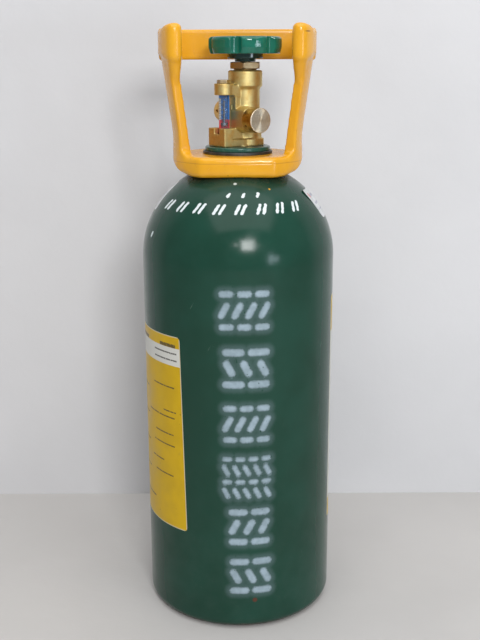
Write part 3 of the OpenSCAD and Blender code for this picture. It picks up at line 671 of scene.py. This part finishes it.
# The rear window's fillets end in tips inside the band; they are trimmed flush with its face
fillet_foot, fillet_top, panel_back, fillet_back = 0.474, 0.4875, 0.0134, 0.028
band_face, band_slant, band_face_most, tip_from = 0.0532, 0.9, 0.0546, 0.045
for vert in guard.verts:
    x, y, z = vert.co
    if fillet_foot < z < fillet_top and panel_back < y < fillet_back:
        band_inside = min(band_face + band_slant * (y - panel_back), band_face_most)
        if tip_from < abs(x) < band_inside:
            vert.co.x = math.copysign(band_inside, x)
make_piece("moulded_guard", guard, "cylinder", yellow_plastic(),
           ["handle_guard"], crease=180)

# ---- Washer and ring nut on the neck ----
# A black rubber-faced steel washer, and a steel ring nut painted with the cylinder's enamel
# that clamps the guard's collar down on the neck's step.
washer_r, washer_z, washer_t, washer_low_round, washer_top_round = 29.3, 404.3, 2.9, 0.7, 0.9
nut_r, nut_z, nut_t, nut_low_round, nut_top_round = 27.5, 407.2, 3.6, 0.8, 1.3
hole_r = 21.1


def neck_piece(radius, foot, thickness, low_round, top_round, top_steps):
    """A flat ring that fits the neck, with its two outer edges rounded, in millimetres."""
    top = foot + thickness
    return lathe([(hole_r, foot), (radius - low_round, foot)]
                 + arc(radius - low_round, foot + low_round, low_round, -90, 0, 4)
                 + arc(radius - top_round, top - top_round, top_round, 0, 90, top_steps)
                 + [(hole_r, top), (hole_r, foot)], 128)


ring = neck_piece(washer_r, washer_z, washer_t, washer_low_round, washer_top_round, 4)
finish, tree = new_finish("washer_black", (0.018, 0.018, 0.017), 0.5)
dusty = ramp(tree, noise(tree, 0.004, 4, 0.6), 0.45, 0.75)
tone = blend(tree, dusty, (0.016, 0.018, 0.017), (0.07, 0.065, 0.055))
dull = ramp(tree, dusty, 0.0, 1.0, 0.4, 0.7)
use(tree, tone, dull, raise_by(tree, noise(tree, 0.001, 3), 2e-5))
make_piece("neck_washer_ring", ring, "cylinder", finish, ["neck_washer"])

ring = neck_piece(nut_r, nut_z, nut_t, nut_low_round, nut_top_round, 5)
finish, tree = new_finish("ring_nut_enamel", (0.014, 0.085, 0.062), 0.22)
dusty = ramp(tree, noise(tree, 0.005, 4, 0.6), 0.45, 0.8)
tone = blend(tree, dusty, (0.013, 0.080, 0.058), (0.05, 0.12, 0.10))
rubbed = ramp(tree, noise(tree, 0.002, 4, 0.7), 0.68, 0.74)
tone = blend(tree, rubbed, tone, (0.22, 0.19, 0.13))
dull = ramp(tree, dusty, 0.0, 1.0, 0.18, 0.4)
use(tree, tone, dull, raise_by(tree, noise(tree, 0.003, 2), 3e-5))
make_piece("neck_ring", ring, "cylinder", finish, ["neck_ring_nut"])

# ---- Valve body ----
# A brass forging, trimmed and left with its satin forged skin, then bored and turned at the
# head, the gauge boss and the outlet. The outlet's thread shows once its cap is off.
valve_turn = math.radians(35)
outlet_way = Vector((math.sin(valve_turn), -math.cos(valve_turn), 0))
outlet_z = 433.0 * mm


def brass(name, light, dark, roughness, grain, tarnish=0.4):
    """Brass with tarnish in soft patches, fine marks, and a skin with lumps of one grain size."""
    spot_brown, hollow_brown = (0.10, 0.055, 0.02), (0.16, 0.08, 0.02)
    finish, tree = new_finish(name, light, roughness, Metallic=1.0)
    patch = noise(tree, 0.008, 5, 0.6)
    tone = blend(tree, ramp(tree, patch, 0.42, 0.72, 0.0, tarnish), light, dark)
    spots = ramp(tree, noise(tree, 0.0016, 3, 0.6), 0.68, 0.76)
    edge = add(tree, "NewGeometry", {}).outputs["Pointiness"]
    tone = coats(tree, tone, (times(tree, spots, 0.6), spot_brown),
                 (ramp(tree, edge, 0.48, 0.43, 0.0, 0.5), hollow_brown))
    dull = ramp(tree, patch, 0.3, 0.8, roughness, roughness + 0.22)
    skin = raise_by(tree, noise(tree, grain, 4, 0.6), grain * 0.06)
    use(tree, tone, dull, skin)
    return finish


forging = softened("valve_body", 0.5, 3)
thread_pitch, thread_depth = 1.6 * mm, 0.7 * mm
thread_from, thread_to = 21.2 * mm, 29.6 * mm
thread_inside, thread_outside = 6.6 * mm, 7.8 * mm
for vert in forging.verts:
    along = vert.co.dot(outlet_way)
    out = vert.co - outlet_way * along - Vector((0, 0, outlet_z))
    if thread_from < along < thread_to and thread_inside < out.length < thread_outside:
        turn = math.atan2(out.z, out.dot(outlet_way.cross(Vector((0, 0, 1))))) / (2 * math.pi)
        tooth = abs(((along / thread_pitch + turn) % 1) * 2 - 1)
        vert.co -= out.normalized() * tooth * thread_depth
forged_brass = brass("forged_brass", (0.60, 0.49, 0.215), (0.54, 0.31, 0.07), 0.44, 0.0014, 0.7)
make_piece("forged_valve", forging, "cylinder", forged_brass, ["valve_body"],
           crease=50)

# ---- Outlet cap ----
# A turned blank cap of brass gone grey, faced in the lathe so that its end shows rings of fine
# tool marks, with a gasket inside and a small bleed hole in the skirt.


def lay(bm, way, place):
    """Turns an upright piece to point along a direction, and moves it to its place."""
    turn = Vector((0, 0, 1)).rotation_difference(way).to_matrix()
    bmesh.ops.rotate(bm, cent=(0, 0, 0), matrix=turn, verts=bm.verts)
    bmesh.ops.translate(bm, vec=place, verts=bm.verts)


def turned_uv(bm):
    """UV of an upright turned piece: U runs round the axis, V along the profile."""
    layer = bm.loops.layers.uv.new("turned")
    for face in bm.faces:
        middle = face.calc_center_median()
        base = math.atan2(middle.y, middle.x)
        for loop in face.loops:
            co = loop.vert.co
            radius = math.hypot(co.x, co.y)
            turn = math.atan2(co.y, co.x) if radius > 1e-6 else base
            turn += 2 * math.pi * round((base - turn) / (2 * math.pi))
            loop[layer].uv = (turn / (2 * math.pi), (co.z - radius) * 20)
    return bm


cap_r, cap_skirt, cap_front, cap_bore_r, cap_floor = 10.15, 20.5, 33.1, 7.5, 31.4
cap_bevel, cap_round, ring_pitch, ring_depth, face_dish = 0.4, 0.6, 0.5, 0.02, 0.05
face_rings = [(cap_r - cap_round - i * ring_pitch, cap_front - (ring_depth if i % 3 else 0.0))
              for i in range(19)]
cap = lathe([(0, cap_floor), (cap_bore_r, cap_floor), (cap_bore_r, cap_skirt),
             (cap_r - cap_bevel, cap_skirt), (cap_r, cap_skirt + cap_bevel),
             (cap_r, cap_front - cap_round)]
            + arc(cap_r - cap_round, cap_front - cap_round, cap_round, 15, 75, 4)
            + face_rings + [(0, cap_front - face_dish)], 96)
turned_uv(cap)
lay(cap, outlet_way, (0, 0, outlet_z))
finish, tree = new_finish("cap_brass", (0.50, 0.43, 0.31), 0.3, Metallic=1.0, Anisotropic=0.9)
place = object_place(tree)
rings = add(tree, "UVMap", {}, uv_map="turned").outputs[0]
groove = noise(tree, 0.004, 3, 0.6, (0.01, 1, 1), rings)
patch = noise(tree, 0.005, 4, 0.6)
face_light, face_dark, groove_dark = (0.80, 0.71, 0.56), (0.56, 0.44, 0.26), (0.25, 0.20, 0.13)
skirt_light, skirt_dark = (0.46, 0.35, 0.16), (0.30, 0.19, 0.07)
tone = blend(tree, ramp(tree, patch, 0.4, 0.75, 0.0, 0.6), face_light, face_dark)
tone = blend(tree, ramp(tree, groove, 0.35, 0.65, 0.0, 0.25), tone, groove_dark)
along = vector_of(tree, "DOT_PRODUCT", place, tuple(outlet_way)).outputs["Value"]
skirt = blend(tree, ramp(tree, patch, 0.4, 0.7), skirt_light, skirt_dark)
on_face = ramp(tree, along, (cap_front - 0.7) * mm, (cap_front - 0.4) * mm)
tone = blend(tree, on_face, skirt, tone)
tangent = add(tree, "Tangent", {}, direction_type="UV_MAP", uv_map="turned").outputs[0]
tree.links.new(tangent, tree.nodes["Principled BSDF"].inputs["Tangent"])
use(tree, tone, ramp(tree, patch, 0.3, 0.8, 0.26, 0.42), raise_by(tree, groove, 1.5e-5))
make_piece("turned_cap", cap, "cap", finish, ["outlet_cap"], crease=35)

# The bleed hole is a dark disc, just proud of the skirt, on its lower right: its dark colour is
# painted shade for the inside of the hole
bleed_r, bleed_sunk, bleed_along = 1.0, 0.4, 25.0
hole = lathe([(0, 0.02), (0.8, 0.05), (bleed_r, -0.02), (0.9, -bleed_sunk), (0, -bleed_sunk)], 24)
bleed_out = (outlet_way.cross(Vector((0, 0, 1))) * 0.9 - Vector((0, 0, 0.44))).normalized()
bleed_at = outlet_way * bleed_along * mm + bleed_out * cap_r * mm + Vector((0, 0, outlet_z))
lay(hole, bleed_out, bleed_at)
finish, tree = new_finish("bleed_hole_dark", (0.02, 0.015, 0.01), 0.6, Metallic=0.5)
# Mottled dark colour of the disc: painted shade inside the hole
hole_shade_mottle = noise(tree, 0.0005, 3)
use(tree, blend(tree, hole_shade_mottle, (0.012, 0.01, 0.008), (0.05, 0.035, 0.02)),
    ramp(tree, hole_shade_mottle, 0, 1, 0.5, 0.8), raise_by(tree, hole_shade_mottle, 1e-5))
make_piece("bleed_hole", hole, "cap", finish)


def dress(node, finish):
    """Gives a CAD node that keeps its own shape a better material."""
    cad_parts[node].data.materials.clear()
    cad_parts[node].data.materials.append(finish)


def moulded(name, colour, shade, roughness, grain=0.002):
    """A plain plastic or rubber with faint mottling and a fine skin."""
    finish, tree = new_finish(name, colour, roughness)
    mottle = noise(tree, grain * 2, 4, 0.6)
    use(tree, blend(tree, ramp(tree, mottle, 0.35, 0.75), colour, shade),
        ramp(tree, mottle, 0.3, 0.8, roughness, roughness + 0.15),
        raise_by(tree, noise(tree, grain, 3), grain * 0.01))
    return finish


white_plastic = moulded("white_plastic", (0.78, 0.76, 0.70), (0.60, 0.57, 0.48), 0.4)
dress("outlet_gasket", white_plastic)

# ---- Relief plug ----
# A turned brass plug behind the valve, with cross vents. It holds a thin disc and a washer
# that burst before the cylinder would.
plug_brass = brass("plug_brass", (0.66, 0.42, 0.14), (0.40, 0.22, 0.07), 0.3, 0.001)

make_piece("relief_head", softened("relief_plug", 0.3, 2), "cylinder",
           plug_brass, ["relief_plug"], crease=50)
dress("rupture_disc", brass("disc_metal", (0.62, 0.55, 0.42), (0.4, 0.33, 0.22), 0.25, 0.0006))
dress("relief_washer", brass("washer_copper", (0.72, 0.36, 0.20), (0.4, 0.2, 0.1), 0.3, 0.0006))

# ---- Level gauge ----
# A clear acrylic tube between the forging and its boss, with a strip in the back of its wall
# that is printed blue above and red below; a pale ticked stripe at its left is a painted
# reflection of the tube. A steel rod rises in the tube against a coil spring, under a brass
# plug, with rubber seals at both ends.
finish, tree = new_finish("clear_acrylic", (0.30, 0.36, 0.42), 0.04, Alpha=0.07, IOR=1.49)
haze = noise(tree, 0.004, 4, 0.6)
use(tree, None, ramp(tree, haze, 0.4, 0.8, 0.02, 0.14), raise_by(tree, haze, 1e-5))
dress("gauge_tube", finish)

gauge_low, gauge_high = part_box("gauge_tube")
gauge_x = (gauge_low.x + gauge_high.x) / 2
gauge_y = (gauge_low.y + gauge_high.y) / 2
red_top, blue_foot, stripe_top, stripe_fade = 0.4325, 0.4331, 0.4508, 0.4502
stripe_from_middle, stripe_edge = 0.0024, 0.0002
scale_red, scale_blue, scale_light = (0.80, 0.04, 0.03), (0.016, 0.25, 0.82), (0.06, 0.36, 0.85)
reflection_stripe_grey, tick_dark = (0.50, 0.56, 0.60), (0.05, 0.05, 0.07)
finish, tree = new_finish("scale_print", (0.01, 0.13, 0.62), 0.3)
axes = add(tree, "SeparateXYZ", {"Vector": object_place(tree)})
x, z = axes.outputs["X"], axes.outputs["Z"]
smudge = noise(tree, 0.0015, 3)
above_red = ramp(tree, wavered(tree, z, smudge, 0.001), red_top, blue_foot)
tone = blend(tree, above_red, scale_red, scale_blue)
# The pale stripe at the left, with its dark ticks, is a painted reflection of light on the tube
from_stripe = calc(tree, "SUBTRACT", x, gauge_x - stripe_from_middle)
reflection_stripe = times(tree, ramp(tree, from_stripe, stripe_edge, -stripe_edge),
               ramp(tree, z, red_top, blue_foot))
reflection_stripe = times(tree, reflection_stripe, ramp(tree, z, stripe_top, stripe_fade))
ticks = calc(tree, "PINGPONG", z, 0.001)
tick = times(tree, reflection_stripe, ramp(tree, ticks, 0.00018, 0.00008))
tone = coats(tree, tone, (ramp(tree, smudge, 0.4, 0.8, 0.0, 0.3), scale_light),
             (reflection_stripe, reflection_stripe_grey), (tick, tick_dark))
use(tree, tone, ramp(tree, smudge, 0.3, 0.7, 0.25, 0.4), raise_by(tree, smudge, 5e-6))
strip_low, strip_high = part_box("gauge_scale")
strip_r, strip_t = 4.4 * mm, 0.25 * mm
strip_wrap, strip_mid = math.radians(250), math.radians(100)
strip = bmesh.new()
edge = Vector((strip_r, 0, 0))
edge.rotate(Matrix.Rotation(strip_mid - strip_wrap / 2, 3, "Z"))
ends = [strip.verts.new(edge + Vector((0, 0, z))) for z in (strip_low.z, strip_high.z)]
bmesh.ops.spin(strip, geom=ends + [strip.edges.new(ends)], cent=(0, 0, 0), axis=(0, 0, 1),
               dvec=(0, 0, 0), angle=strip_wrap, steps=48)
bmesh.ops.translate(strip, vec=(gauge_x, gauge_y, 0), verts=strip.verts)
bmesh.ops.recalc_face_normals(strip, faces=strip.faces)
bmesh.ops.solidify(strip, geom=strip.faces[:], thickness=strip_t)
make_piece("scale_strip", strip, "cylinder", finish, ["gauge_scale"], crease=40)


def steel(name, colour, roughness, grain, stretch=(1, 1, 1)):
    """Bright steel with drawn or turned marks and light grey patches."""
    finish, tree = new_finish(name, colour, roughness, Metallic=1.0)
    marks = noise(tree, grain, 4, 0.6, stretch)
    darker = tuple(c * 0.6 for c in colour)
    use(tree, blend(tree, ramp(tree, marks, 0.4, 0.75), colour, darker),
        ramp(tree, marks, 0.3, 0.8, roughness, roughness + 0.2),
        raise_by(tree, marks, grain * 0.02))
    return finish


dress("gauge_plunger", steel("rod_steel", (0.20, 0.22, 0.27), 0.4, 0.001, (1, 1, 0.1)))
spring_low, spring_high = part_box("gauge_spring")
spring_length = spring_high.z - spring_low.z
wire_r, wire_sides, coil_r, coil_foot = 0.2 * mm, 8, 2.3 * mm, 0.3 * mm
coil_turns, coil_steps, rod_rise = 6, 20, 0.012
coil = bmesh.new()
wire = bmesh.ops.create_circle(coil, segments=wire_sides, radius=wire_r)["verts"]
bmesh.ops.rotate(coil, cent=(0, 0, 0), verts=wire,
                 matrix=Matrix.Rotation(math.radians(90), 3, "X"))
bmesh.ops.translate(coil, vec=(coil_r, 0, coil_foot), verts=wire)
climb = (spring_length - 2 * coil_foot) / (coil_turns * coil_steps)
bmesh.ops.spin(coil, geom=coil.verts[:] + coil.edges[:], cent=(0, 0, 0), axis=(0, 0, 1),
               angle=2 * math.pi * coil_turns, dvec=(0, 0, climb), steps=coil_turns * coil_steps)
bmesh.ops.holes_fill(coil, edges=[e for e in coil.edges if e.is_boundary], sides=wire_sides)
bmesh.ops.recalc_face_normals(coil, faces=coil.faces)
bmesh.ops.translate(coil, vec=(gauge_x, gauge_y, spring_low.z), verts=coil.verts)
spring = make_piece("coil_spring", coil, "cylinder",
                    steel("spring_wire", (0.24, 0.26, 0.32), 0.32, 0.0006), ["gauge_spring"],
                    crease=60)
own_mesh(spring)

nut_brass = brass("nut_brass", (0.42, 0.33, 0.20), (0.30, 0.20, 0.10), 0.3, 0.0012)
make_piece("gauge_plug_hex", softened("gauge_plug", 0.25, 2), "cylinder",
           nut_brass, ["gauge_plug"], crease=40)
dress("gauge_seals", moulded("seal_rubber", (0.015, 0.015, 0.015), (0.04, 0.04, 0.04), 0.5, 0.001))

# ---- Gland nut, spindle and lower plug ----
# A hexagon nut holds the packing down on the spindle's flange. The spindle's tang turns a
# threaded plug below, which carries the seat up and down inside the valve.
make_piece("gland_hex", softened("gland_nut", 0.3, 2), "cylinder", nut_brass,
           ["gland_nut"], crease=40)
spindle_brass = brass("spindle_brass", (0.60, 0.47, 0.26), (0.4, 0.27, 0.12), 0.25, 0.0008)
for node in ("spindle", "valve_plug"):
    dress(node, spindle_brass)
for node in ("gland_packing", "seat_insert"):
    dress(node, white_plastic)

# ---- Handwheel ----
# A zinc casting with six lobes, dipped in thick green enamel that has rounded every edge, on
# the spindle's square under a plated washer and nut.


def wheel_enamel():
    """Thick glossy enamel, the hub under the rim darkened with painted shade, chipped to the
    casting on its raised edges.
    """
    deep_green, full_green = (0.004, 0.105, 0.068), (0.006, 0.135, 0.088)
    hub_shade_green, chip_grey = (0.010, 0.045, 0.040), (0.17, 0.16, 0.13)
    hub_top, hub_fade = 0.4865, 0.4855
    finish, tree = new_finish("wheel_enamel", (0.005, 0.12, 0.078), 0.1)
    drift = noise(tree, 0.01, 3)
    tone = blend(tree, ramp(tree, drift, 0.35, 0.7), deep_green, full_green)
    z = add(tree, "SeparateXYZ", {"Vector": object_place(tree)}).outputs["Z"]
    edge = add(tree, "NewGeometry", {}).outputs["Pointiness"]
    chipped = noise(tree, 0.002, 4, 0.7)
    chip = times(tree, ramp(tree, edge, 0.52, 0.56), ramp(tree, chipped, 0.56, 0.62))
    # Below the rim the hub is coloured darker: painted shade under the rim
    tone = coats(tree, tone, (ramp(tree, z, hub_top, hub_fade), hub_shade_green), (chip, chip_grey))
    dull = duller(tree, chip, ramp(tree, drift, 0.3, 0.8, 0.05, 0.14), 0.5)
    pool = raise_by(tree, noise(tree, 0.006, 2), 1.6e-4)
    use(tree, tone, dull, raise_by(tree, chip, -8e-5, pool))
    return finish


wheel = softened("handwheel", 0.5, 5)
spindle_low, spindle_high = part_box("spindle")
wheel_axis = (spindle_low + spindle_high) / 2
# The valleys between the lobes are deepened, fading out from the rim towards the hub
lobe_pitch, first_valley, valley_width = math.radians(60), math.radians(-15), math.radians(8)
valley_depth, valley_from, valley_fade = 1.6 * mm, 22 * mm, 6 * mm
rim_foot = 0.4858
for vert in wheel.verts:
    out = Vector((vert.co.x - wheel_axis.x, vert.co.y - wheel_axis.y, 0))
    turn = (math.atan2(out.x, -out.y) - first_valley) % lobe_pitch
    turn = min(turn, lobe_pitch - turn)
    if out.length > valley_from and vert.co.z > rim_foot:
        sink = valley_depth * math.exp(-(turn / valley_width) ** 2)
        vert.co -= out.normalized() * sink * min((out.length - valley_from) / valley_fade, 1)
make_piece("enamelled_wheel", wheel, "wheel", wheel_enamel(), ["handwheel"],
           crease=180)
plated = steel("plated_steel", (0.58, 0.58, 0.56), 0.28, 0.001)
make_piece("wheel_nut_hex", softened("wheel_nut", 0.2, 2), "wheel", plated,
           ["wheel_nut"], crease=40)
dress("wheel_washer", plated)

# ---- Floor, wall and light ----
# A pale floor, and a wall that is clear from behind. A soft lamp stands right of the camera, a
# small one makes glints, two make a window, a wide one hangs overhead, and the room does the rest.
room_r, room_height, wall_at = 3, 3, 0.1965
floor_corners = [(-room_r, -room_r, 0), (room_r, -room_r, 0), (room_r, room_r, 0),
                 (-room_r, room_r, 0)]
wall_corners = [(-room_r, wall_at, 0), (room_r, wall_at, 0), (room_r, wall_at, room_height),
                (-room_r, wall_at, room_height)]
for name, corners, colour in (("floor", floor_corners, (0.54, 0.525, 0.51)),
                              ("back_wall", wall_corners, (0.655, 0.655, 0.67))):
    bm = bmesh.new()
    bm.faces.new([bm.verts.new(c) for c in corners])
    mesh = bpy.data.meshes.new(name)
    bm.to_mesh(mesh)
    bm.free()
    plane = bpy.data.objects.new(name, mesh)
    scene.collection.objects.link(plane)
    finish, tree = new_finish(name + "_paint", colour, 0.7)
    cloud = noise(tree, 0.25, 4)
    shade = tuple(c * 0.93 for c in colour)
    use(tree, blend(tree, ramp(tree, cloud, 0.35, 0.7), colour, shade), None,
        raise_by(tree, noise(tree, 0.02, 4), 4e-4))
    if name == "back_wall":
        clear = add(tree, "BsdfTransparent", {}).outputs[0]
        behind = add(tree, "NewGeometry", {}).outputs["Backfacing"]
        paint = tree.nodes["Principled BSDF"].outputs[0]
        seen = add(tree, "MixShader", {0: behind, 1: paint, 2: clear}).outputs[0]
        tree.links.new(seen, tree.nodes["Material Output"].inputs["Surface"])
    mesh.materials.append(finish)


def lamp(name, place, aim, power, width, height, colour=(1, 1, 1)):
    """A soft rectangular lamp at a place, turned towards another."""
    light = bpy.data.lights.new(name, "AREA")
    light.shape = "RECTANGLE"
    light.size, light.size_y = width, height
    light.energy = power
    light.color = colour
    made = bpy.data.objects.new(name, light)
    made.location = place
    made.rotation_euler = (Vector(aim) - Vector(place)).to_track_quat("-Z", "Y").to_euler()
    scene.collection.objects.link(made)


lamp("key_lamp", (0.40, -1.88, 1.07), (0, 0, 0.3), 20, 0.5, 0.42)
lamp("glint_lamp", (-0.10, -1.90, 1.09), (0, 0, 0.3), 0.8, 0.11, 0.11)
window_power, window_tall = 2.2, 0.34
for side, tall in ((1.12, window_tall), (1.42, 0.22)):
    lamp("window_lamp", (side, -1.45, 0.40), (0, 0, 0.33), window_power * tall / window_tall,
         0.19, tall, (0.75, 0.88, 1.0))
lamp("ceiling_lamp", (0.1, -0.7, 2.2), (0, 0, 0.2), 34, 2.6, 2.2)
room_light, room_seen = 0.42, 0.80
room = bpy.data.worlds.new("room")
scene.world = room
room.use_nodes = True
tree = room.node_tree
sky = tree.nodes["Background"]
sky.inputs["Color"].default_value = (0.80, 0.80, 0.82, 1)
seen = add(tree, "LightPath", {}).outputs["Is Camera Ray"]
tree.links.new(ramp(tree, seen, 0.0, 1.0, room_light, room_seen), sky.inputs["Strength"])
